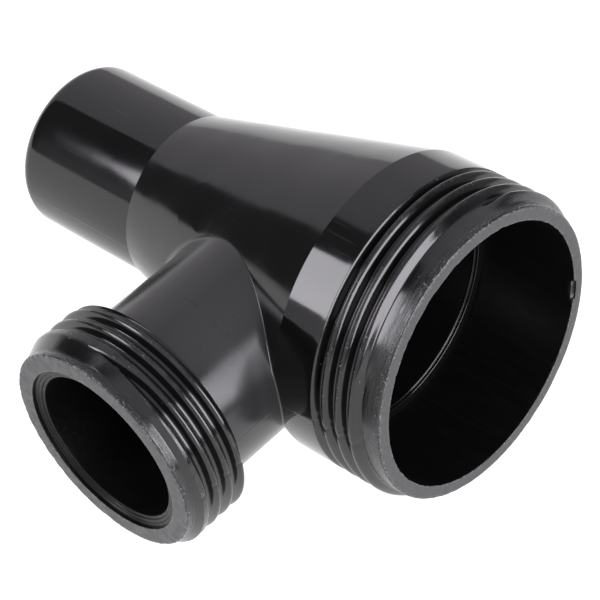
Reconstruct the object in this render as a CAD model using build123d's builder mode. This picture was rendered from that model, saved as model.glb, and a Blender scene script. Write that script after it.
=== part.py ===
"""Reducing tee for water hose, one black plastic moulding with a large threaded port, a side
branch threaded for a smaller nut, and a plain round spigot.

Millimetres.  The origin is the centre of the large port's end face, +X points out of that
port along the run, the branch points along -Y and the mould parting plane is Z = 0.
"""
import os

from build123d import *

# Run: distances along X are measured back from the large port's end face.
PORT_BORE_RADIUS = 17.9
PORT_ROOT_RADIUS = 19.8
PORT_CREST_RADIUS = 20.9
PORT_SKIN_START = 1.0  # where the skin under the thread begins
PORT_COLLAR_START = 9.9
CONE_WIDE_END = 16.0
CONE_NARROW_END = 51.4
CONE_NARROW_RADIUS = 12.0
SEAT_RADIUS = 16.4  # ledge that stops what is pushed into the large port
SEAT_FRONT = 14.7
SEAT_BACK = 15.4
SEAT_REBATE = 0.3  # how far the seat's ring reaches into the wall
WALL = 2.1
SPIGOT_RADIUS = 11.8
SPIGOT_END = 73.0
SPIGOT_ROUNDING = 1.95

# Branch: distances along -Y are measured from the axis of the run.
BRANCH_X = -28.0
BRANCH_END = 39.6
BRANCH_NECK_RADIUS = 12.7
BRANCH_BORE_RADIUS = BRANCH_NECK_RADIUS - WALL
BRANCH_ROOT_RADIUS = 14.5
BRANCH_CREST_RADIUS = 15.5
BRANCH_BARREL_LENGTH = 9.6
BRANCH_SKIN_START = 0.7  # where the skin under its thread begins
BRANCH_SEAT_RADIUS = 12.0
BRANCH_SEAT_DEPTH = 0.8
BRANCH_SEAT_THICKNESS = 1.6
SEAT_BEAD_RADIUS = 11.3
SEAT_BEAD_SIZE = 0.25

# Threads, right-handed with 60 degree flanks.
PORT_PITCH = 2.15
PORT_CREST_WIDTH = 0.6
BRANCH_PITCH = 2.1
BRANCH_CREST_WIDTH = 0.6
FLANK_SLOPE = 0.577  # axial run of a flank for each millimetre of its height
SLEEVE = 0.3  # thickness of the skin under the thread's root
EDGE_CHAMFER = 0.3

# Where each ridge starts: how far behind the mouth its middle lies, and the angle above Z = 0,
# counted from +Y on the large port and from +X on the branch.
PORT_RIDGE_START = 2.2
PORT_START_ANGLE = 75
BRANCH_RIDGE_START = 1.65
BRANCH_START_ANGLE = 140

os.makedirs("parts", exist_ok=True)

RUN_PROFILE = Plane.XY
BRANCH_AXIS = Axis((BRANCH_X, 0, 0), (0, -1, 0))
BRANCH_PLANE = Plane(origin=(BRANCH_X, 0, 0), x_dir=(1, 0, 0), z_dir=(0, -1, 0))
CONE_SLOPE = (PORT_CREST_RADIUS - CONE_NARROW_RADIUS) / (CONE_NARROW_END - CONE_WIDE_END)
SPIGOT_BORE_RADIUS = SPIGOT_RADIUS - WALL

# Where the inside, kept parallel to the cone's outside, reaches the seat's radius.
CONE_WALL = CONE_NARROW_RADIUS - SPIGOT_BORE_RADIUS
INNER_CONE_START = CONE_WIDE_END + (PORT_CREST_RADIUS - CONE_WALL - SEAT_RADIUS) / CONE_SLOPE


# Plain spigot: a straight tube with a rounded end.
with BuildPart() as plain_spigot:
    with BuildSketch(RUN_PROFILE):
        with BuildLine():
            Polyline(
                (-CONE_NARROW_END, SPIGOT_BORE_RADIUS),
                (-CONE_NARROW_END, SPIGOT_RADIUS),
                (-SPIGOT_END, SPIGOT_RADIUS),
                (-SPIGOT_END, SPIGOT_BORE_RADIUS),
                close=True,
            )
        make_face()
    revolve(axis=Axis.X)
    end_edges = plain_spigot.edges().group_by(Axis.X)[0].sort_by(SortBy.RADIUS)
    fillet(end_edges[-1], SPIGOT_ROUNDING)
    inner_edge = plain_spigot.edges().group_by(Axis.X)[0].sort_by(SortBy.RADIUS)[0]
    chamfer(inner_edge, EDGE_CHAMFER)


# Reducer body: the hollow cone, pierced by the branch.
with BuildPart() as reducer_body:
    with BuildSketch(RUN_PROFILE):
        with BuildLine():
            Polyline(
                (-CONE_WIDE_END, SEAT_RADIUS),
                (-CONE_WIDE_END, PORT_CREST_RADIUS),
                (-CONE_NARROW_END, CONE_NARROW_RADIUS),
                (-CONE_NARROW_END, SPIGOT_BORE_RADIUS),
                (-INNER_CONE_START, SEAT_RADIUS),
                close=True,
            )
        make_face()
    revolve(axis=Axis.X)
    with BuildSketch(BRANCH_PLANE):
        Circle(BRANCH_BORE_RADIUS)
    extrude(amount=BRANCH_END, mode=Mode.SUBTRACT)


# Collar of the large port: the smooth band behind the thread.
with BuildPart() as port_collar:
    with BuildSketch(RUN_PROFILE):
        with BuildLine():
            Polyline(
                (-CONE_WIDE_END, SEAT_RADIUS),
                (-CONE_WIDE_END, PORT_CREST_RADIUS),
                (-PORT_COLLAR_START, PORT_CREST_RADIUS),
                (-PORT_COLLAR_START, PORT_BORE_RADIUS),
                (-SEAT_FRONT, PORT_BORE_RADIUS),
                (-SEAT_FRONT, PORT_BORE_RADIUS + SEAT_REBATE),
                (-SEAT_BACK, PORT_BORE_RADIUS + SEAT_REBATE),
                (-SEAT_BACK, SEAT_RADIUS),
                close=True,
            )
        make_face()
    revolve(axis=Axis.X)
    front_rim = port_collar.edges().group_by(Axis.X)[-1].sort_by(SortBy.RADIUS)[-1]
    chamfer(front_rim, EDGE_CHAMFER)


# Barrel of the large port: the wall inside the thread, with its plain pilot at the mouth.
with BuildPart() as port_barrel:
    with BuildSketch(RUN_PROFILE):
        with BuildLine():
            Polyline(
                (0, PORT_BORE_RADIUS),
                (0, PORT_ROOT_RADIUS),
                (-PORT_SKIN_START, PORT_ROOT_RADIUS),
                (-PORT_SKIN_START, PORT_ROOT_RADIUS - SLEEVE),
                (-PORT_COLLAR_START, PORT_ROOT_RADIUS - SLEEVE),
                (-PORT_COLLAR_START, PORT_BORE_RADIUS),
                close=True,
            )
        make_face()
    revolve(axis=Axis.X)
    mouth_edges = port_barrel.edges().group_by(Axis.X)[-1]
    chamfer(mouth_edges.sort_by(SortBy.RADIUS)[-1], EDGE_CHAMFER)


def male_thread(mouth, start, start_angle, skin, length, root, crest, pitch, crest_width):
    """Thin sleeve that carries a right-handed helical ridge of trapezoid section.

    mouth is the plane of the port's end face with its normal pointing inwards.  The ridge starts
    at the distance `start` behind it, and stops flush with the distance `length`.
    """
    height = crest - root
    foot = crest_width / 2 + FLANK_SLOPE * height
    sunk = SLEEVE / 2
    radial = mouth.x_dir.rotate(Axis((0, 0, 0), mouth.z_dir), start_angle)
    ridge_plane = Plane(mouth.origin + mouth.z_dir * start, x_dir=radial, z_dir=mouth.z_dir)
    path = ridge_plane * Helix(pitch, length - start + foot, root)
    with BuildPart() as thread:
        with BuildSketch(Plane(origin=path @ 0, x_dir=radial, z_dir=path % 0)):
            with BuildLine():
                Polyline(
                    (-sunk, -foot - FLANK_SLOPE * sunk),
                    (height, -crest_width / 2),
                    (height, crest_width / 2),
                    (-sunk, foot + FLANK_SLOPE * sunk),
                    close=True,
                )
            make_face()
        sweep(path=path, is_frenet=True)
        with BuildSketch(mouth.offset(skin)):
            Circle(root)
            Circle(root - SLEEVE, mode=Mode.SUBTRACT)
        extrude(amount=length - skin)
        split(bisect_by=mouth.offset(length), keep=Keep.BOTTOM)
    return thread


# Thread of the large port.
port_thread = male_thread(
    mouth=Plane(origin=(0, 0, 0), x_dir=(0, 1, 0), z_dir=(-1, 0, 0)),
    start=PORT_RIDGE_START,
    start_angle=-PORT_START_ANGLE,
    skin=PORT_SKIN_START,
    length=PORT_COLLAR_START,
    root=PORT_ROOT_RADIUS,
    crest=PORT_CREST_RADIUS,
    pitch=PORT_PITCH,
    crest_width=PORT_CREST_WIDTH,
)


# Seat ring at the bottom of the large port's bore.
with BuildPart() as port_seat_ring:
    with BuildSketch(Plane.YZ.offset(-SEAT_BACK)):
        Circle(PORT_BORE_RADIUS + SEAT_REBATE)
        Circle(SEAT_RADIUS, mode=Mode.SUBTRACT)
    extrude(amount=SEAT_BACK - SEAT_FRONT)
    lip = port_seat_ring.edges().group_by(Axis.X)[-1].sort_by(SortBy.RADIUS)[0]
    chamfer(lip, EDGE_CHAMFER)


# Branch neck: a tube whose inner end is saddled onto the cone and the collar.
with BuildPart() as branch_neck:
    with BuildSketch(BRANCH_PLANE):
        Circle(BRANCH_NECK_RADIUS)
        Circle(BRANCH_BORE_RADIUS, mode=Mode.SUBTRACT)
    extrude(amount=BRANCH_END - BRANCH_BARREL_LENGTH)
    with BuildSketch(RUN_PROFILE):
        with BuildLine():
            Polyline(
                (0, 0),
                (0, PORT_CREST_RADIUS),
                (-CONE_WIDE_END, PORT_CREST_RADIUS),
                (-CONE_NARROW_END, CONE_NARROW_RADIUS),
                (-CONE_NARROW_END, 0),
                close=True,
            )
        make_face()
    revolve(axis=Axis.X, mode=Mode.SUBTRACT)


# Branch barrel: the thick wall behind the branch's face, with the seat's recess.
def branch_ring(inner, outer, near, far):
    """Profile of a ring about the branch, between two distances back from its end face."""
    return Polyline(
        (BRANCH_X + inner, far - BRANCH_END),
        (BRANCH_X + outer, far - BRANCH_END),
        (BRANCH_X + outer, near - BRANCH_END),
        (BRANCH_X + inner, near - BRANCH_END),
        close=True,
    )


seat_back = BRANCH_SEAT_DEPTH + BRANCH_SEAT_THICKNESS
with BuildPart() as branch_barrel:
    with BuildSketch(RUN_PROFILE):
        with BuildLine():
            branch_ring(BRANCH_BORE_RADIUS, BRANCH_ROOT_RADIUS, 0, BRANCH_BARREL_LENGTH)
        make_face()
        with BuildLine():
            branch_ring(BRANCH_BORE_RADIUS, BRANCH_SEAT_RADIUS, 0, seat_back)
        make_face(mode=Mode.SUBTRACT)
        with BuildLine():
            inner = BRANCH_ROOT_RADIUS - SLEEVE
            branch_ring(inner, BRANCH_ROOT_RADIUS, BRANCH_SKIN_START, BRANCH_BARREL_LENGTH)
        make_face(mode=Mode.SUBTRACT)
    revolve(axis=BRANCH_AXIS)
    rim = branch_barrel.edges().group_by(Axis.Y)[0].sort_by(SortBy.RADIUS)[-1]
    chamfer(rim, EDGE_CHAMFER)


# Thread of the branch.
branch_thread = male_thread(
    mouth=Plane(origin=(BRANCH_X, -BRANCH_END, 0), x_dir=(1, 0, 0), z_dir=(0, 1, 0)),
    start=BRANCH_RIDGE_START,
    start_angle=-BRANCH_START_ANGLE,
    skin=BRANCH_SKIN_START,
    length=BRANCH_BARREL_LENGTH,
    root=BRANCH_ROOT_RADIUS,
    crest=BRANCH_CREST_RADIUS,
    pitch=BRANCH_PITCH,
    crest_width=BRANCH_CREST_WIDTH,
)


# Seat ring of the branch: the floor of its recess, with a raised sealing bead.
with BuildPart() as branch_seat_ring:
    with BuildSketch(RUN_PROFILE):
        with BuildLine():
            branch_ring(BRANCH_BORE_RADIUS, BRANCH_SEAT_RADIUS, BRANCH_SEAT_DEPTH, seat_back)
        make_face()
        with Locations((BRANCH_X + SEAT_BEAD_RADIUS, BRANCH_SEAT_DEPTH - BRANCH_END)):
            Circle(SEAT_BEAD_SIZE)
    revolve(axis=BRANCH_AXIS)


pieces = {
    "plain_spigot": plain_spigot,
    "reducer_body": reducer_body,
    "port_collar": port_collar,
    "port_barrel": port_barrel,
    "port_thread": port_thread,
    "port_seat_ring": port_seat_ring,
    "branch_neck": branch_neck,
    "branch_barrel": branch_barrel,
    "branch_thread": branch_thread,
    "branch_seat_ring": branch_seat_ring,
}
for label, piece in pieces.items():
    piece.part.label = label
    export_step(piece.part, f"parts/{label}.step")
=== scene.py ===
"""Looks of the reducing tee: one glossy black moulding lying on a white studio floor.

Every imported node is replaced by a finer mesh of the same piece, with rounded and worn edges,
shaped threads and the fillet where the branch leaves the cone.  Sizes are millimetres until a
mesh is made.  On the run a point is (s, r, a): s back from the large port's face, r from the
axis, a from -Y towards +Z.  On the branch it is (s, r, a): s back from the branch's face, r from
its axis, a from +X towards +Z.  These angles are in radians; constants are in degrees.
"""

import math

import bmesh
import bpy
import numpy as np
from mathutils import Matrix, Vector


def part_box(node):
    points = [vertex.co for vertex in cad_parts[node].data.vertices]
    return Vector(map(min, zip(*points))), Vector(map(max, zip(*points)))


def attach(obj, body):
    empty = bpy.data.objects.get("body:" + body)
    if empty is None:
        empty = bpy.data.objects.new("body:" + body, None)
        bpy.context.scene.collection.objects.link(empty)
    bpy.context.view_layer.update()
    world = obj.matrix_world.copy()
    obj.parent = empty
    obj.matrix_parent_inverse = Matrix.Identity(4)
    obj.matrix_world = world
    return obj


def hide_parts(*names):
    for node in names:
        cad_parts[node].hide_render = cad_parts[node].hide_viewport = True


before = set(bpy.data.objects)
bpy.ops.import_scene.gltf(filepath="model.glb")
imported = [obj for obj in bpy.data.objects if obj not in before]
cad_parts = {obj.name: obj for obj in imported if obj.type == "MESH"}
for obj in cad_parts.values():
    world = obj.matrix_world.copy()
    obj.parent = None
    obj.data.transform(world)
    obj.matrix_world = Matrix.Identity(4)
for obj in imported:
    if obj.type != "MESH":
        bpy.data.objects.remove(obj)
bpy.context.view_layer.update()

MM = 0.001


def corner(node, high, axis):
    """One coordinate of a node's box, in millimetres."""
    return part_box(node)[high][axis] / MM


# Run.
PORT_CREST = corner("port_collar", 1, 2)
PORT_ROOT = corner("port_barrel", 1, 2)
PORT_BORE = 17.9
PORT_SKIN = 1.0  # where the skin that carries the thread begins
COLLAR_FRONT = -corner("port_collar", 1, 0)
COLLAR_ROUNDING = 0.06
CONE_WIDE = -corner("reducer_body", 1, 0)
CONE_NARROW = -corner("plain_spigot", 1, 0)
CONE_NARROW_RADIUS = 12.0
SPIGOT_END = -corner("plain_spigot", 0, 0)
SPIGOT = corner("plain_spigot", 1, 2)
SPIGOT_ROUNDING = 1.95
SPIGOT_LIP = 0.1
WALL = 2.1
SPIGOT_BORE = SPIGOT - WALL
SEAT_FRONT = -corner("port_seat_ring", 1, 0)
SEAT_BACK = -corner("port_seat_ring", 0, 0)
SEAT = 16.4
SEAT_REBATE = 0.3
SEAT_ROUNDING = 0.1
SLEEVE = 0.3
MOUTH_INNER_ROUNDING = 0.12
MOUTH_OUTER_ROUNDING = 0.3
GATE_MARK = (-36.4, -10.0, 12.2)

# Branch.
BRANCH_X = (corner("branch_barrel", 0, 0) + corner("branch_barrel", 1, 0)) / 2
BRANCH_END = -corner("branch_barrel", 0, 1)
BARREL_LENGTH = BRANCH_END + corner("branch_barrel", 1, 1)
BRANCH_ROOT = corner("branch_barrel", 1, 2)
BRANCH_CREST = BRANCH_ROOT + 1.0
NECK = corner("branch_neck", 1, 2)
BRANCH_BORE = NECK - WALL
RECESS = corner("branch_seat_ring", 1, 2)
RECESS_DEPTH = 0.8
RECESS_BACK = 2.4
RECESS_STEP = 0.2
RECESS_ROUNDING = 0.05
BRANCH_SKIN = 0.7

# Threads: pitch, width and rounding of the crest, the angle and place at which the large port's
# ridge and the branch's groove start, and the turn each takes to reach its full height or depth.
FLANK = 0.577  # axial run of a flank for each millimetre of its height
THREAD_TURNS = 5
ROOT_ROUNDING = 0.18  # like the crests' rounding, a part of the ridge's height
PORT_PITCH = 2.15
PORT_CREST_WIDTH = 0.6
PORT_CREST_ROUNDING = 0.45
PORT_START = (105, 2.2)
PORT_RISE = 14
BRANCH_PITCH = 2.1
BRANCH_CREST_WIDTH = 0.5
BRANCH_CREST_ROUNDING = 0.4
BRANCH_GROOVE = (100, 2.9)
GROOVE_OPENS = 45

# Where a thread crosses the mould's parting plane its crest is notched: half the notch's width
# in degrees, and the part of its depth that comes and goes along the thread.
NOTCH_HALF_WIDTH = 1.1
NOTCH_VARIES = 0.6

# Wear of the two mouths: how far it reaches in from an edge, and the one larger chip.
EDGE_REACH = 0.35
CHIP_ANGLE = 190
CHIP_HALF_WIDTH = 4.5
CHIP_DEPTH = 0.7

# Fillet round the foot of the branch: its least radius, what it gains towards the narrow side of
# the cone, and the angles from the wide side between which it gains it.
FILLET = 0.2
FILLET_GAIN = 2.2
FILLET_GROWS = (86, 168)
INTO_CONE = 0.4  # how far the foot of the neck reaches under the cone's skin

# Meshes: points round a turn, steps along the mouths and the threads, the angle from which an
# edge stays sharp, and what the cutter adds to the radius of the branch's bore.
TURN = 384
MOUTH_TURN = 720
BRANCH_THREAD_TURN = 600
MOUTH_STEP = 0.35
THREAD_STEP = 0.07
SHARP_ANGLE = 28
CUTTER_SPARE = 0.02

CONE_SLOPE = (PORT_CREST - CONE_NARROW_RADIUS) / (CONE_NARROW - CONE_WIDE)


def on_run(s, r, a):
    return np.stack([-s, -r * np.cos(a), r * np.sin(a)], -1)


def on_branch(s, r, a):
    return np.stack([BRANCH_X + r * np.cos(a), s - BRANCH_END, r * np.sin(a)], -1)


def around(count=TURN):
    """Angles once round an axis, as a column."""
    return (np.arange(count) * 2 * math.pi / count)[:, None]


def rounded(corners, step=12):
    """Outline through (s, r, radius) corners, each rounded by an arc of its radius."""
    points = []
    for before, here, after in zip(corners[-1:] + corners[:-1], corners, corners[1:] + corners[:1]):
        p = np.array(here[:2], float)
        if not here[2]:
            points.append(p)
            continue
        to_before = np.array(before[:2]) - p
        to_after = np.array(after[:2]) - p
        to_before /= np.linalg.norm(to_before)
        to_after /= np.linalg.norm(to_after)
        half = math.acos(np.clip(to_before @ to_after, -1, 1)) / 2
        middle = to_before + to_after
        middle /= np.linalg.norm(middle)
        centre = p + middle * here[2] / math.sin(half)
        start = p + to_before * here[2] / math.tan(half) - centre
        end = p + to_after * here[2] / math.tan(half) - centre
        sweep = math.pi - 2 * half
        for i in range(step + 1):
            t = i / step
            weights = math.sin((1 - t) * sweep), math.sin(t * sweep)
            points.append(centre + (start * weights[0] + end * weights[1]) / math.sin(sweep))
    return np.array(points)


def divided(outline, longest):
    """Closed outline with extra points, so that no stretch of it is longer than `longest`."""
    points = []
    for p, q in zip(outline, np.roll(outline, -1, 0)):
        pieces = max(1, math.ceil(np.linalg.norm(q - p) / longest))
        points += [p + (q - p) * i / pieces for i in range(pieces)]
    return np.array(points)


def grid_mesh(name, points):
    """Closed ring-shaped mesh from a grid of points that wraps both ways."""
    rows, columns = points.shape[:2]
    index = np.arange(rows * columns).reshape(rows, columns)
    right = np.roll(index, -1, 1)
    quads = np.stack([index, right, np.roll(right, -1, 0), np.roll(index, -1, 0)], -1)
    mesh = bpy.data.meshes.new(name)
    mesh.from_pydata((points.reshape(-1, 3) * MM).tolist(), [], quads.reshape(-1, 4).tolist())
    shape = bmesh.new()
    shape.from_mesh(mesh)
    bmesh.ops.recalc_face_normals(shape, faces=shape.faces)
    shape.to_mesh(mesh)
    shape.free()
    mesh.shade_smooth()
    mesh.set_sharp_from_angle(angle=math.radians(SHARP_ANGLE))
    piece = bpy.data.objects.new(name, mesh)
    bpy.context.scene.collection.objects.link(piece)
    return piece


def lathe(name, place, corners, longest=1.0, count=TURN, damage=None):
    """Turned ring; `damage` gives how far each point of it is worn back and outwards."""
    outline = divided(rounded(corners), longest)
    a = around(count)
    s = np.repeat(outline[None, :, 0], count, 0)
    r = np.repeat(outline[None, :, 1], count, 0)
    if damage:
        back, out = damage(s, r, a)
        s, r = s + back, r + out
    return grid_mesh(name, place(s, r, a))


def turned_from(a, middle):
    """Signed turn from one angle to others, the short way round, all in radians."""
    return np.angle(np.exp(1j * (a - middle)))


def near(x, middle, reach):
    """1 at the middle, falling off smoothly to almost 0 at twice the reach."""
    return np.exp(-(((x - middle) / reach) ** 2))


def nicks(a, seed, count, depth, width):
    """Depths of small random bites round an edge; a typical one is `width` degrees wide."""
    random = np.random.default_rng(seed)
    total = np.zeros_like(a)
    for _ in range(count):
        middle = random.uniform(0, 2 * math.pi)
        off = turned_from(a, middle) / math.radians(width * random.uniform(0.4, 1.6))
        total = np.maximum(total, depth * random.uniform(0.2, 1.0) * np.exp(-(off**2)))
    return total


def port_mouth_damage(s, r, a):
    """Ragged inner edge of the large port, with one chip, and a scuffed outer edge."""
    at_face = near(s, 0, EDGE_REACH)
    inner = at_face * near(r, PORT_BORE, 0.3)
    outer = at_face * near(r, PORT_ROOT, 0.3)
    chip_off = turned_from(a, math.radians(CHIP_ANGLE)) / math.radians(CHIP_HALF_WIDTH)
    bites = nicks(a, seed=3, count=60, depth=0.10, width=1.2) + CHIP_DEPTH * np.exp(-(chip_off**4))
    scuffs = nicks(a, seed=5, count=50, depth=0.07, width=1.5)
    back = 0.5 * inner * bites + outer * scuffs
    return back, inner * bites


def branch_mouth_damage(s, r, a):
    """Scuffed outer edge of the branch's mouth."""
    outer = near(s, 0, EDGE_REACH) * near(r, BRANCH_ROOT, EDGE_REACH)
    back = nicks(a, seed=7, count=90, depth=0.10, width=1.4)
    inwards = nicks(a, seed=9, count=60, depth=0.08, width=1.2)
    return outer * back, -0.6 * outer * inwards


def smooth_min(a, b, k):
    """The lesser of two, with the change from one to the other rounded over k."""
    h = np.clip(0.5 + 0.5 * (b - a) / k, 0, 1)
    return b + (a - b) * h - k * h * (1 - h)


def smooth_max(a, b, k):
    """The greater of two, with the change from one to the other rounded over k."""
    return -smooth_min(-a, -b, k)


def step_between(low, high, x):
    """Smooth step of x, from 0 at low to 1 at high."""
    t = np.clip((x - low) / (high - low), 0, 1)
    return t * t * (3 - 2 * t)


def ridge(distance, crest_width, height):
    """Height of a thread's ridge, from 0 to 1, at an axial distance from its middle."""
    foot = crest_width / 2 + FLANK * height
    slope = (foot - np.abs(distance)) / (FLANK * height)
    return smooth_max(smooth_min(slope, 1.0, PORT_CREST_ROUNDING), 0.0, ROOT_ROUNDING)


def port_height(s, a):
    """Height of the large port's thread, from 0 to 1."""
    tall = PORT_CREST - PORT_ROOT
    start_angle, start = PORT_START
    turned = np.mod(np.degrees(a) - start_angle, 360)
    total = np.zeros(np.broadcast(s, a).shape)
    for turn in range(THREAD_TURNS):
        along = turned + 360 * turn
        middle = start + along / 360 * PORT_PITCH
        rise = step_between(0, PORT_RISE, along)
        total = np.maximum(total, rise * ridge(s - middle, PORT_CREST_WIDTH, tall))
    shoulder = (s - COLLAR_FRONT) / (FLANK * tall) + 1
    return np.maximum(total, smooth_max(smooth_min(shoulder, 1.0, 0.12), 0.0, ROOT_ROUNDING))


def branch_height(s, a):
    """Height of the branch's thread, from 0 to 1: a bevelled land cut by a groove.

    The bevel is short from a sixth to half of a turn after the groove's start, and long elsewhere.
    """
    tall = BRANCH_CREST - BRANCH_ROOT
    start_angle, start = BRANCH_GROOVE
    turned = np.mod(start_angle - np.degrees(a), 360)
    lead_in = 1 - step_between(12, 60, turned) + step_between(170, 240, turned)
    bevel = smooth_min((s - 1.25 + 0.3 * lead_in) / (0.6 + 1.6 * lead_in), 1.0, 0.1)
    land = smooth_max(bevel, 0.0, 0.06)
    gap = BRANCH_PITCH - BRANCH_CREST_WIDTH
    for turn in range(THREAD_TURNS):
        along = turned + 360 * turn
        middle = start + along / 360 * BRANCH_PITCH
        opened = step_between(0, GROOVE_OPENS, along)
        edge = (np.abs(s - middle) - gap / 2 + FLANK * tall) / (FLANK * tall)
        filled = edge + 1.4 * (1 - opened)
        groove = smooth_max(smooth_min(filled, 1.0, BRANCH_CREST_ROUNDING), 0.0, ROOT_ROUNDING)
        land = np.minimum(land, groove)
    return land


def thread(name, place, height, skin, length, root, crest, count, notch):
    """Threaded skin: its outside is a fine grid, its inside is a plain cylinder."""
    a = around(count)
    s = np.linspace(skin, length, round((length - skin) / THREAD_STEP) + 1)[None, :]
    off_parting = np.degrees(np.arcsin(np.abs(np.sin(a))))
    nick = notch * (1 + NOTCH_VARIES * np.sin(3.1 * s)) * near(off_parting, 0, NOTCH_HALF_WIDTH)
    r = root + (crest - root) * height(s, a) * (1 - nick)
    inner = np.full((count, 1), root - SLEEVE)
    s = np.broadcast_to(s, r.shape)
    s = np.hstack([s, np.full_like(inner, length), np.full_like(inner, skin)])
    return grid_mesh(name, place(s, np.hstack([r, inner, inner]), a))


def cone_radius(x):
    """Outer radius of the cone, or of the collar before it, at a place along the run."""
    return np.minimum(PORT_CREST, PORT_CREST + (x + CONE_WIDE) * CONE_SLOPE)


def neck_piece(name):
    """Branch neck, a tube that runs out into the cone in a fillet, widest on the narrow side."""
    a = around()[:, 0]
    across = np.abs(np.degrees(np.arctan2(np.sin(a), np.cos(a))))
    fillet = (FILLET + FILLET_GAIN * step_between(*FILLET_GROWS, across))[:, None]
    spread = NECK + fillet[:, 0]
    x = BRANCH_X + spread * np.cos(a)
    z = spread * np.sin(a)
    stretch = math.hypot(1, CONE_SLOPE)
    lift = np.where(x < -CONE_WIDE, fillet[:, 0] * stretch, fillet[:, 0])
    y = -np.sqrt((cone_radius(x) + lift) ** 2 - z**2)
    centre = np.stack([x, y, z], -1)
    radial = np.stack([np.zeros_like(x), y, z], -1)
    radial /= np.linalg.norm(radial, axis=1)[:, None]
    lean = np.where(x < -CONE_WIDE, -CONE_SLOPE, 0.0)
    normal = radial + np.stack([lean, 0 * lean, 0 * lean], -1)
    normal /= np.linalg.norm(normal, axis=1)[:, None]
    to_neck = -np.stack([np.cos(a), 0 * a, np.sin(a)], -1)
    to_cone = -normal
    angle = np.arccos(np.clip((to_neck * to_cone).sum(1), -1, 1))[:, None]
    top = on_branch(np.full_like(a, BARREL_LENGTH), np.full_like(a, NECK), a)
    tangent = centre + fillet * to_neck
    columns = [top + (tangent - top) * t for t in np.linspace(0, 1, 14)[:-1]]
    for u in np.linspace(0, 1, 18):
        t = 1 - (1 - u) ** 1.8
        toward = (to_neck * np.sin((1 - t) * angle) + to_cone * np.sin(t * angle)) / np.sin(angle)
        columns.append(centre + fillet * toward)
    columns.append(columns[-1] - INTO_CONE * normal)
    bore_x = BRANCH_X + BRANCH_BORE * np.cos(a)
    bore_z = BRANCH_BORE * np.sin(a)
    bore_y = -np.sqrt((cone_radius(bore_x) - INTO_CONE) ** 2 - bore_z**2)
    columns.append(np.stack([bore_x, bore_y, bore_z], -1))
    bore_top = on_branch(np.full_like(a, BARREL_LENGTH), np.full_like(a, BRANCH_BORE), a)
    columns += [columns[-1] + (bore_top - columns[-1]) * t for t in (0.34, 0.67, 1.0)]
    return grid_mesh(name, np.stack(columns, 1))


def pierce(piece, radius, depth):
    """Cuts the branch's bore through a piece of the run."""
    bpy.ops.mesh.primitive_cylinder_add(vertices=TURN, radius=radius * MM, depth=depth * MM)
    cutter = bpy.context.object
    cutter.rotation_euler = (math.pi / 2, 0, 0)
    cutter.location = Vector((BRANCH_X, -depth / 2, 0)) * MM
    cut = piece.modifiers.new("bore", "BOOLEAN")
    cut.object = cutter
    cut.solver = "EXACT"
    bpy.context.view_layer.update()
    shown = piece.evaluated_get(bpy.context.evaluated_depsgraph_get())
    mesh = bpy.data.meshes.new_from_object(shown)
    piece.modifiers.clear()
    piece.data = mesh
    mesh.set_sharp_from_angle(angle=math.radians(SHARP_ANGLE))
    bpy.data.objects.remove(cutter)


inner_cone = CONE_WIDE + (PORT_CREST - (CONE_NARROW_RADIUS - SPIGOT_BORE) - SEAT) / CONE_SLOPE

spigot = lathe("spigot_tube", on_run, [
    (CONE_NARROW, SPIGOT_BORE, 0),
    (CONE_NARROW, SPIGOT, 0),
    (SPIGOT_END, SPIGOT, SPIGOT_ROUNDING),
    (SPIGOT_END, SPIGOT_BORE, SPIGOT_LIP),
])
cone = lathe("reducer_cone", on_run, [
    (CONE_WIDE, SEAT, 0),
    (CONE_WIDE, PORT_CREST, 0),
    (CONE_NARROW, CONE_NARROW_RADIUS, 0),
    (CONE_NARROW, SPIGOT_BORE, 0),
    (inner_cone, SEAT, 0),
])
pierce(cone, BRANCH_BORE + CUTTER_SPARE, BRANCH_END)
collar = lathe("port_collar_band", on_run, [
    (CONE_WIDE, SEAT, 0),
    (CONE_WIDE, PORT_CREST, 0),
    (COLLAR_FRONT, PORT_CREST, COLLAR_ROUNDING),
    (COLLAR_FRONT, PORT_BORE, 0),
    (SEAT_FRONT, PORT_BORE, 0),
    (SEAT_FRONT, PORT_BORE + SEAT_REBATE, 0),
    (SEAT_BACK, PORT_BORE + SEAT_REBATE, 0),
    (SEAT_BACK, SEAT, 0),
])
port_barrel = lathe("port_barrel_wall", on_run, [
    (0, PORT_BORE, MOUTH_INNER_ROUNDING),
    (0, PORT_ROOT, MOUTH_OUTER_ROUNDING),
    (PORT_SKIN, PORT_ROOT, 0),
    (PORT_SKIN, PORT_ROOT - SLEEVE, 0),
    (COLLAR_FRONT, PORT_ROOT - SLEEVE, 0),
    (COLLAR_FRONT, PORT_BORE, 0),
], MOUTH_STEP, MOUTH_TURN, port_mouth_damage)
port_thread = thread("port_thread_skin", on_run, port_height, PORT_SKIN, COLLAR_FRONT,
                     PORT_ROOT, PORT_CREST, MOUTH_TURN, notch=0.2)
port_seat = lathe("port_seat_ledge", on_run, [
    (SEAT_FRONT, PORT_BORE + SEAT_REBATE, 0),
    (SEAT_FRONT, SEAT + 0.3, SEAT_ROUNDING),
    (SEAT_FRONT + 0.38, SEAT + 0.2, SEAT_ROUNDING / 2),
    (SEAT_FRONT + 0.42, SEAT, SEAT_ROUNDING),
    (SEAT_BACK, SEAT, SEAT_ROUNDING),
    (SEAT_BACK, PORT_BORE + SEAT_REBATE, 0),
])
neck = neck_piece("branch_neck_tube")
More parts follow.
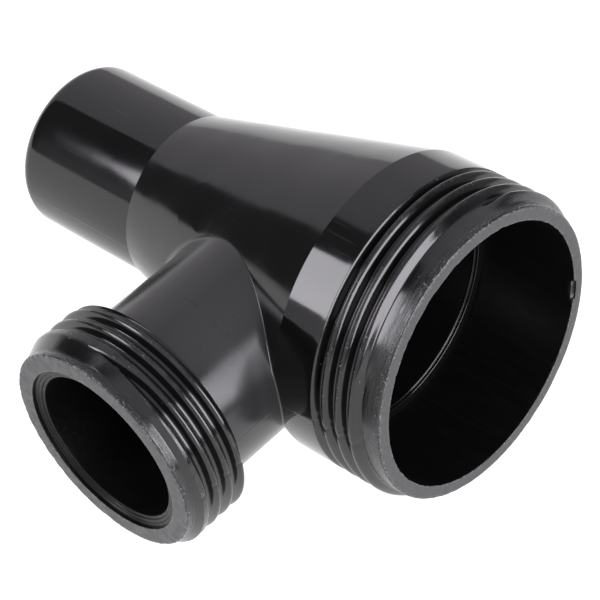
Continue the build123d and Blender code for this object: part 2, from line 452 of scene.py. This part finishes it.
branch_barrel = lathe("branch_barrel_wall", on_branch, [
    (BARREL_LENGTH, BRANCH_BORE, 0),
    (RECESS_BACK, BRANCH_BORE, 0),
    (RECESS_BACK, RECESS, 0),
    (0, RECESS, MOUTH_INNER_ROUNDING),
    (0, BRANCH_ROOT, MOUTH_OUTER_ROUNDING),
    (BRANCH_SKIN, BRANCH_ROOT, 0),
    (BRANCH_SKIN, BRANCH_ROOT - SLEEVE, 0),
    (BARREL_LENGTH, BRANCH_ROOT - SLEEVE, 0),
], MOUTH_STEP, MOUTH_TURN, branch_mouth_damage)
branch_thread = thread("branch_thread_skin", on_branch, branch_height, BRANCH_SKIN, BARREL_LENGTH,
                       BRANCH_ROOT, BRANCH_CREST, BRANCH_THREAD_TURN, notch=0.07)
branch_seat = lathe("branch_seat_floor", on_branch, [
    (RECESS_BACK, BRANCH_BORE, 0),
    (RECESS_DEPTH, BRANCH_BORE, MOUTH_INNER_ROUNDING),
    (RECESS_DEPTH, 10.98, RECESS_ROUNDING),
    (RECESS_DEPTH - RECESS_STEP, 11.08, RECESS_ROUNDING),
    (RECESS_DEPTH - RECESS_STEP, 11.42, RECESS_ROUNDING),
    (RECESS_DEPTH - 2 * RECESS_STEP, 11.55, RECESS_ROUNDING),
    (RECESS_DEPTH - 2 * RECESS_STEP, RECESS, 0),
    (RECESS_BACK, RECESS, 0),
])

stands_for = {
    "plain_spigot": (spigot, "body_plastic"),
    "reducer_body": (cone, "body_plastic"),
    "port_collar": (collar, "port_plastic"),
    "port_barrel": (port_barrel, "port_plastic"),
    "port_thread": (port_thread, "thread_plastic"),
    "port_seat_ring": (port_seat, "port_plastic"),
    "branch_neck": (neck, "body_plastic"),
    "branch_barrel": (branch_barrel, "port_plastic"),
    "branch_thread": (branch_thread, "thread_plastic"),
    "branch_seat_ring": (branch_seat, "port_plastic"),
}
for node, (piece, slot) in stands_for.items():
    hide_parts(node)
    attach(piece, "root")


# Sockets of a Mix node that blends colours.
COLOUR_A, COLOUR_B, COLOUR_OUT = 6, 7, 2
COOLNESS = 1.04  # blue over red and green in the greys
PLASTIC_IOR = 1.5


class Graph:
    """Short names for adding nodes to a tree."""

    def __init__(self, tree):
        self.tree = tree

    def put(self, socket, value):
        """Links a socket to a node's output, or sets it to a value."""
        if isinstance(value, bpy.types.NodeSocket):
            self.tree.links.new(value, socket)
        else:
            socket.default_value = value

    def add(self, kind, inputs=None, **settings):
        made = self.tree.nodes.new(kind)
        for key, value in settings.items():
            setattr(made, key, value)
        for key, value in (inputs or {}).items():
            self.put(made.inputs[key], value)
        return made

    def math(self, operation, *values):
        inputs = dict(enumerate(values))
        return self.add("ShaderNodeMath", inputs, operation=operation).outputs[0]

    def times(self, *values):
        product = values[0]
        for value in values[1:]:
            product = self.math("MULTIPLY", product, value)
        return product

    def span(self, value, low, high, to_low=0.0, to_high=1.0, **settings):
        return self.add("ShaderNodeMapRange", {
            "Value": value, "From Min": low, "From Max": high, "To Min": to_low, "To Max": to_high,
        }, **settings).outputs["Result"]


class Surface(Graph):
    """A material of one Principled shader; its nodes work in the object's millimetres."""

    def __init__(self, name):
        self.material = bpy.data.materials.new(name)
        self.material.use_nodes = True
        super().__init__(self.material.node_tree)
        self.shader = self.tree.nodes["Principled BSDF"]
        place = self.add("ShaderNodeTexCoord").outputs["Object"]
        self.point = self.add("ShaderNodeVectorMath", {0: place, "Scale": 1 / MM},
                              operation="SCALE").outputs[0]

    def set(self, key, value):
        self.put(self.shader.inputs[key], value)

    def noise(self, scale, detail=2.0, stretch=(1, 1, 1)):
        point = self.add("ShaderNodeMapping", {"Vector": self.point, "Scale": stretch}).outputs[0]
        return self.add("ShaderNodeTexNoise",
                        {"Vector": point, "Scale": scale, "Detail": detail}).outputs["Fac"]

    def bump(self, height, millimetres, under=None):
        inputs = {"Height": height, "Distance": millimetres * MM, "Strength": 1.0}
        if under is not None:
            inputs["Normal"] = under
        return self.add("ShaderNodeBump", inputs).outputs["Normal"]

    def split(self):
        """X, Y and Z of the point."""
        return self.add("ShaderNodeSeparateXYZ", {0: self.point}).outputs

    def join(self, x, y, z):
        return self.add("ShaderNodeCombineXYZ", {0: x, 1: y, 2: z}).outputs[0]

    def radius(self, centre_x=None):
        """Distance from the run's axis, or from the branch's when its X is given."""
        x, y, z = self.split()
        if centre_x is None:
            across = self.join(0.0, y, z)
        else:
            across = self.join(self.math("SUBTRACT", x, centre_x), 0.0, z)
        return self.add("ShaderNodeVectorMath", {0: across}, operation="LENGTH").outputs["Value"]

    def mix(self, factor, low, high):
        """Blend of two colours; a number is a near-neutral grey of that brightness."""
        made = self.add("ShaderNodeMix", {"Factor": factor}, data_type="RGBA")
        for index, value in ((COLOUR_A, low), (COLOUR_B, high)):
            if not isinstance(value, bpy.types.NodeSocket):
                value = (value, value, value * COOLNESS, 1)
            self.put(made.inputs[index], value)
        return made.outputs[COLOUR_OUT]


def gloss_black(name, gloss=(0.09, 0.15), ripple=0.02, ripple_scale=0.10, gate=None,
                base=(0.0020, 0.0034)):
    """Moulded black plastic: clean gloss, slow ripples and a few hairline scratches.

    `gloss` and `base` are the ranges of its roughness and of its colour's brightness, and
    `ripple` is the ripples' depth in millimetres.  A faint line runs along the mould's parting
    plane, Z = 0; `gate` is the middle of the round mark left where the plastic was fed in.
    """
    g = Surface(name)
    patches = g.noise(0.14, 3)
    streaks = g.noise(0.9, 2, (0.10, 3.0, 3.0))
    hairs = g.times(g.span(streaks, 0.63, 0.70), g.span(patches, 0.5, 0.62))
    g.set("Base Color", g.mix(hairs, g.mix(patches, *base), 0.008))
    g.set("Roughness", g.math("ADD", g.span(patches, 0.35, 0.65, *gloss), g.times(hairs, 0.06)))
    g.set("IOR", PLASTIC_IOR)
    parting = g.span(g.math("ABSOLUTE", g.split()[2]), 0.10, 0.02)
    slow = g.bump(parting, 0.03, g.bump(g.noise(ripple_scale, 1), ripple))
    if gate:
        away = g.add("ShaderNodeVectorMath", {0: g.point, 1: gate},
                     operation="DISTANCE").outputs["Value"]
        slow = g.bump(g.span(away, 1.6, 2.3), 0.02, slow)
        slow = g.bump(g.span(away, 0.2, 5.0), 0.08, slow)
    g.set("Normal", g.bump(g.noise(5.0, 3), 0.0006, g.bump(streaks, 0.0012, slow)))
    return g.material


def scuffs(g, reach, centre_x):
    """Streaks that run round an end, as far back from its mouth as `reach`.

    Returns them and the distance back from the mouth.
    """
    x, y, z = g.split()
    if centre_x is None:
        back, across = g.math("MULTIPLY", x, -1.0), y
    else:
        back, across = g.math("ADD", y, BRANCH_END), g.math("SUBTRACT", x, centre_x)
    turn = g.times(g.math("ARCTAN2", z, across), 4.4)
    rings = g.join(turn, g.times(back, 2.6), 0.0)
    streaks = g.add("ShaderNodeTexNoise", {
        "Vector": rings, "Scale": 1.6, "Detail": 5.0, "Roughness": 0.65,
    }).outputs["Fac"]
    return g.times(g.span(back, reach, reach * 0.6), g.span(streaks, 0.40, 0.60)), back


def thread_black(name, root, crest, reach, centre_x=None):
    """Gloss black whose crests are rubbed and speckled, with specks of dust all over."""
    g = Surface(name)
    height = g.span(g.radius(centre_x), root, crest)
    on_crest = g.span(height, 0.80, 0.98)
    rubbed = g.times(on_crest, g.span(g.noise(0.8, 3), 0.40, 0.62))
    places = g.span(g.noise(0.25, 2), 0.48, 0.64)
    specks = g.times(on_crest, g.span(g.noise(3.2, 4), 0.63, 0.68), places)
    dust = g.times(g.span(g.noise(2.6, 1), 0.80, 0.82), 0.6)
    worn = g.math("MAXIMUM", specks, dust)
    rough = g.math("ADD", g.span(g.noise(0.4, 3), 0.3, 0.7, 0.10, 0.18), g.times(worn, 0.35))
    scuffed, _ = scuffs(g, reach, centre_x)
    rubbed = g.math("MAXIMUM", rubbed, scuffed)
    g.set("Base Color", g.mix(worn, g.mix(rubbed, 0.0025, 0.010), 0.12))
    g.set("Roughness", g.math("ADD", rough, g.times(rubbed, 0.14)))
    g.set("IOR", PLASTIC_IOR)
    slow = g.bump(g.noise(0.35, 2), 0.012)
    fine = g.bump(g.noise(4.0, 3), 0.0015, g.bump(scuffed, 0.01, slow))
    g.set("Normal", g.bump(worn, 0.02, fine))
    return g.material


def cut_face(name, inner, outer, centre_x=None):
    """Matte end face: a fine grain, turned lines and a speckled, rubbed outer edge."""
    g = Surface(name)
    r = g.radius(centre_x)
    outer_edge = g.span(r, outer - 0.55, outer - 0.1)
    edge = g.math("MAXIMUM", outer_edge, g.span(r, inner + 0.35, inner + 0.05))
    specks = g.times(edge, g.span(g.noise(3.0, 4), 0.53, 0.61))
    grain = g.noise(7.0, 4)
    turned = g.math("SINE", g.times(r, 19.0))
    g.set("Base Color", g.mix(specks, g.mix(g.span(grain, 0.35, 0.65), 0.012, 0.026), 0.11))
    g.set("Roughness", g.span(g.noise(1.2, 3), 0.3, 0.7, 0.34, 0.50))
    g.set("IOR", PLASTIC_IOR)
    lines = g.bump(turned, 0.0015)
    g.set("Normal", g.bump(grain, 0.010, g.bump(specks, 0.02, lines)))
    return g.material


def scuffed_pilot(name, reach, centre_x=None):
    """Plain end in front of a thread: gloss, scuffed in streaks that run round it."""
    g = Surface(name)
    scuffed, back = scuffs(g, reach, centre_x)
    specks = g.times(g.span(g.noise(3.4, 4), 0.61, 0.67), g.span(back, reach * 0.6, reach * 0.2))
    g.set("Base Color", g.mix(specks, g.mix(scuffed, 0.0028, 0.012), 0.12))
    rough = g.math("ADD", 0.14, g.times(specks, 0.3))
    g.set("Roughness", g.math("ADD", g.times(scuffed, 0.22), rough))
    g.set("IOR", PLASTIC_IOR)
    slow = g.bump(scuffed, 0.012, g.bump(g.noise(0.5, 2), 0.012))
    g.set("Normal", g.bump(specks, 0.02, slow))
    return g.material


def dull_shaded_bore(name):
    """Inside walls and the recess's floor: darker and duller, with faint streaks along them. The
    darker colour and the weak reflection are painted shade, for the little light that reaches in.
    """
    g = Surface(name)
    streaks = g.noise(1.0, 3, (0.2, 2.5, 2.5))
    g.set("Base Color", g.mix(streaks, 0.0018, 0.0032))
    g.set("Roughness", g.span(streaks, 0.3, 0.7, 0.28, 0.42))
    g.set("IOR", PLASTIC_IOR)
    # Weak reflection: painted shade inside the bores and the recess.
    g.set("Specular IOR Level", 0.17)
    g.set("Normal", g.bump(streaks, 0.006))
    return g.material


def paint(piece, *layers):
    """Gives faces their materials: each layer is a material and a test of faces, or None.

    A test is given the faces' centres, in millimetres, and their normals.  Later layers win.
    """
    mesh = piece.data
    mesh.materials.clear()
    count = len(mesh.polygons)
    centres, normals = np.empty((count, 3)), np.empty((count, 3))
    mesh.polygons.foreach_get("center", centres.ravel())
    mesh.polygons.foreach_get("normal", normals.ravel())
    centres /= MM
    chosen = np.zeros(count, int)
    for index, (material, test) in enumerate(layers):
        mesh.materials.append(material)
        if test:
            chosen[test(centres, normals)] = index
    mesh.polygons.foreach_set("material_index", chosen)


def looks_inwards(c, n):
    """Faces that look towards the run's axis."""
    return (c[:, 1] * n[:, 1] + c[:, 2] * n[:, 2]) / np.hypot(c[:, 1], c[:, 2]) < -0.5


def looks_into_branch(c, n):
    """Faces that look towards the branch's axis."""
    across = c[:, 0] - BRANCH_X
    return (across * n[:, 0] + c[:, 2] * n[:, 2]) / np.hypot(across, c[:, 2]) < -0.5


def looks_out_of_port(c, n):
    return n[:, 0] > 0.75


def looks_out_of_branch(c, n):
    return n[:, 1] < -0.75


# How far back from each mouth the scuffs reach.
PORT_SCUFF_REACH = 2.8
BRANCH_SCUFF_REACH = 1.4

bore = dull_shaded_bore("bore_painted_shade_black")
body = gloss_black("body_gloss_black", ripple=0.24, ripple_scale=0.085, gate=GATE_MARK)
tube = gloss_black("tube_gloss_black", gloss=(0.06, 0.11), ripple=0.02)
# The neck's black is rougher and lighter than the body's. Its lighter colour is painted sheen,
# standing in for the brighter reflection on the neck.
neck_sheen = gloss_black("neck_painted_sheen_black", gloss=(0.17, 0.24), ripple=0.05, base=(0.011, 0.015))
port_ridges = thread_black("port_thread_black", PORT_ROOT, PORT_CREST, PORT_SCUFF_REACH)
branch_ridges = thread_black("branch_thread_black", BRANCH_ROOT, BRANCH_CREST, BRANCH_SCUFF_REACH,
                             BRANCH_X)
port_pilot = scuffed_pilot("port_pilot_black", PORT_SCUFF_REACH)
branch_pilot = scuffed_pilot("branch_pilot_black", BRANCH_SCUFF_REACH, BRANCH_X)
port_face = cut_face("port_face_black", PORT_BORE, PORT_ROOT)
branch_face = cut_face("branch_face_black", RECESS, BRANCH_ROOT, BRANCH_X)
paint(spigot, (tube, None), (bore, looks_inwards))
paint(cone, (body, None), (bore, looks_inwards))
paint(neck, (neck_sheen, None), (bore, looks_into_branch))
paint(collar, (tube, None), (bore, looks_inwards))
paint(port_seat, (gloss_black("seat_gloss_black"), None))
paint(port_thread, (port_ridges, None))
paint(branch_thread, (branch_ridges, None))
paint(port_barrel, (port_pilot, None), (bore, looks_inwards), (port_face, looks_out_of_port))
paint(branch_barrel, (branch_pilot, None), (bore, looks_into_branch),
      (branch_face, looks_out_of_branch))
# The recess's floor takes the bore's darker black too, as painted shade.
paint(branch_seat, (gloss_black("recess_gloss_black"), None), (bore, looks_into_branch),
      (bore, looks_out_of_branch))

FLOOR_SIZE = 6.0  # metres
FLOOR_GLOW = 0.98

# The fitting lies on the back of its collar, the end of the spigot and the branch's thread.
rest_points = [
    Vector((-CONE_WIDE, 0, -PORT_CREST)),
    Vector((-SPIGOT_END, 0, -SPIGOT)),
    Vector((BRANCH_X, -BRANCH_END, -BRANCH_CREST)),
]
up = (rest_points[1] - rest_points[0]).cross(rest_points[2] - rest_points[0]).normalized()
if up.z < 0:
    up.negate()
lowest = min(
    up.dot(piece.matrix_world @ v.co)
    for piece, _ in stands_for.values()
    for v in piece.data.vertices
)
bpy.ops.mesh.primitive_plane_add(size=FLOOR_SIZE, location=up * lowest)
floor = bpy.context.object
floor.name = "studio_floor"
floor.rotation_mode = "QUATERNION"
floor.rotation_quaternion = up.to_track_quat("Z", "Y")
paper = Surface("white_paper")
paper.set("Base Color", (0.3, 0.3, 0.3, 1))
paper.set("Emission Color", (1, 1, 1, 1))
paper.set("Emission Strength", FLOOR_GLOW)
paper.set("Roughness", paper.span(paper.noise(0.02, 2), 0.3, 0.7, 0.85, 0.95))
floor.data.materials.append(paper.material)

# Studio: each light is placed as it is seen from the fitting.
LOOK_AT = Vector((-30, 0, 0)) * MM
LIGHT_COLOUR = (0.985, 0.965, 1.03)
level = Matrix((
    (Vector((1, 0, 0)) - up * up.x).normalized(),
    up.cross(Vector((1, 0, 0)) - up * up.x).normalized(),
    up,
)).transposed()


def towards(azimuth, elevation):
    """Direction from the fitting, as its floor's own azimuth and elevation in degrees."""
    turn, tilt = math.radians(azimuth), math.radians(elevation)
    flat = math.cos(tilt)
    return level @ Vector((flat * math.cos(turn), flat * math.sin(turn), math.sin(tilt)))


def softbox(name, shape, azimuth, elevation, distance, size, brightness, roll):
    """Area light whose size, in degrees, is how wide and tall it looks from the fitting.

    Its energy goes with its area, so that its brightness doesn't change with size or distance.
    """
    width, height = (2 * distance * math.tan(math.radians(d / 2)) for d in size)
    data = bpy.data.lights.new(name, "AREA")
    data.shape = shape
    data.size, data.size_y = width, height
    data.energy = brightness * math.pi * width * height
    data.color = LIGHT_COLOUR
    if shape == "ELLIPSE":
        data.energy *= math.pi / 4
    lamp = bpy.data.objects.new(name, data)
    out = towards(azimuth, elevation)
    side = up.cross(out).normalized()
    facing = Matrix((side, out.cross(side), out)).transposed()
    lamp.matrix_world = (
        Matrix.Translation(LOOK_AT + out * distance)
        @ facing.to_4x4()
        @ Matrix.Rotation(math.radians(roll), 4, "Z")
    )
    bpy.context.scene.collection.objects.link(lamp)


softbox("right_softbox", "RECTANGLE", -2.5, 27, 0.9, (50, 40), 9.5, 8)
softbox("left_softbox", "ELLIPSE", -130.7, 29.3, 0.9, (22, 35), 8.5, 30.7)

# The room: a wall's brightness, then the planes that bound it, each given by its normal's azimuth
# and elevation and the heights above it at which the wall begins and is full, all in degrees.
WALLS = [
    (0.85, [(-85, 12, 36, 54)]),
    (0.25, [(90, 15, 40, 62)]),
    (0.65, [(0, 88, 46, 64)]),
    (0.72, [(94.5, 0, -1, 1), (-122, 8, -42, 6), (0, -90, -64, -46)]),
]
DIMMEST = 0.12
BACKDROP = 1.2
WALL_COLOUR = (1.0, 0.955, 1.015, 1)
world = bpy.data.worlds.new("studio")
world.use_nodes = True
sky = Graph(world.node_tree)
facing_out = sky.add("ShaderNodeTexCoord").outputs["Generated"]


def sky_step(azimuth, elevation, begins, full):
    """0 to 1 over the sky, by the height in degrees above the plane with the given normal."""
    height = sky.add("ShaderNodeVectorMath", {0: facing_out, 1: towards(azimuth, elevation)},
                     operation="DOT_PRODUCT").outputs["Value"]
    return sky.span(height, math.sin(math.radians(begins)), math.sin(math.radians(full)),
                    interpolation_type="SMOOTHSTEP")


light = DIMMEST
for brightness, planes in WALLS:
    wall = sky.times(brightness, *(sky_step(*plane) for plane in planes))
    light = sky.math("ADD", light, wall)
# Behind the floor's edge the camera sees the same white, whatever the walls look like.
seen = sky.add("ShaderNodeLightPath").outputs["Is Camera Ray"]
light = sky.math("ADD", light, sky.times(seen, BACKDROP))
background = sky.tree.nodes["Background"]
sky.put(background.inputs["Strength"], light)
sky.put(background.inputs["Color"], WALL_COLOUR)
bpy.context.scene.world = world
bpy.context.scene.view_settings.view_transform = "Standard"

# Camera, as fitted to the photograph.
eye = bpy.data.cameras.new("photo_camera")
eye.sensor_width = 36
eye.lens = 135.95
camera = bpy.data.objects.new("photo_camera", eye)
camera.location = (0.13489, -0.14256, 0.19970)
camera.rotation_euler = [math.radians(d) for d in (46.0754, 7.5369, 42.4067)]
bpy.context.scene.collection.objects.link(camera)
bpy.context.scene.camera = camera
